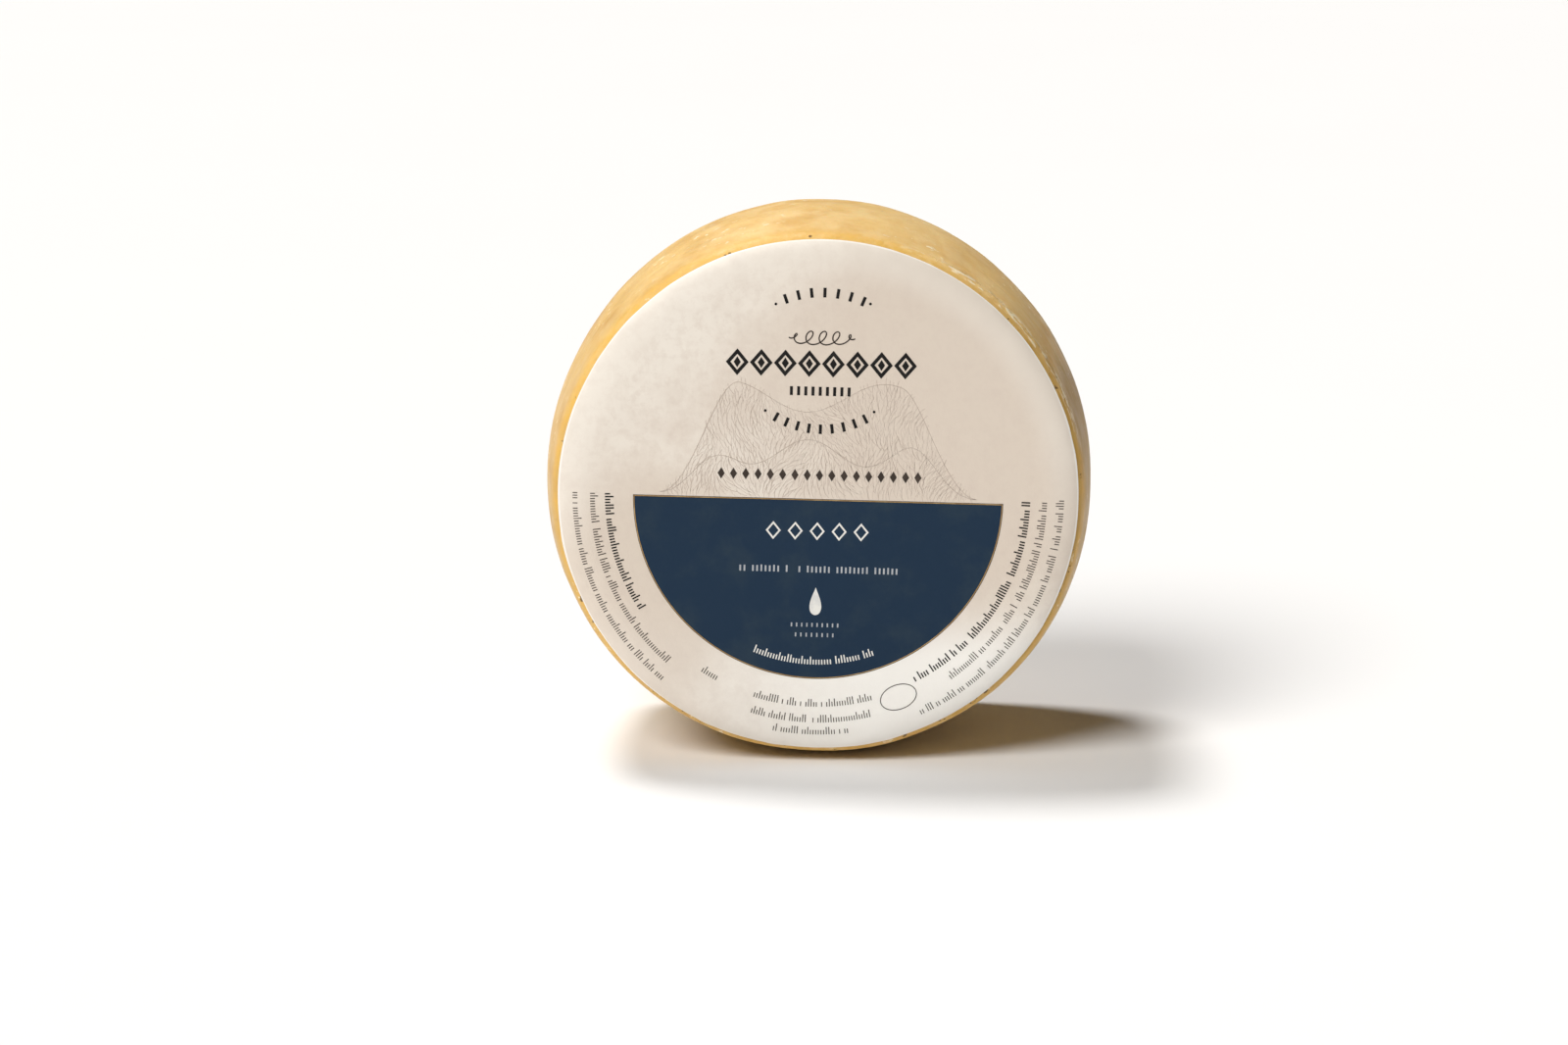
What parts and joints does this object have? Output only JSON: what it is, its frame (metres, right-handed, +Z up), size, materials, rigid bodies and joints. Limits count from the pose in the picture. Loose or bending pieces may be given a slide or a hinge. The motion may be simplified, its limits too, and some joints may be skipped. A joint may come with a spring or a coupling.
{
  "type": "cheese wheel",
  "caption": "Whole wheel of pressed sheep's-milk cheese, standing on its rim, with rounded shoulders and a round paper label on its front face.",
  "frame": {"origin": "under the middle of the standing wheel, on the flat spot that it rests on", "axes": "+Z up, +Y along the wheel's axis away from the labelled face, +X to the right as the label is seen"},
  "size_m": [0.1806, 0.0912, 0.1788],
  "materials": {
    "rind": "waxy satin rind, golden ochre, with faint streaks round the rim, pale flecks and small pits",
    "label_paper": "satin off-white paper with a dark blue half disc, a thin gold line and small plain printed marks"
  },
  "bodies": {
    "root": {"wheel": "rind", "label": "label_paper"}
  },
  "joints": []
}
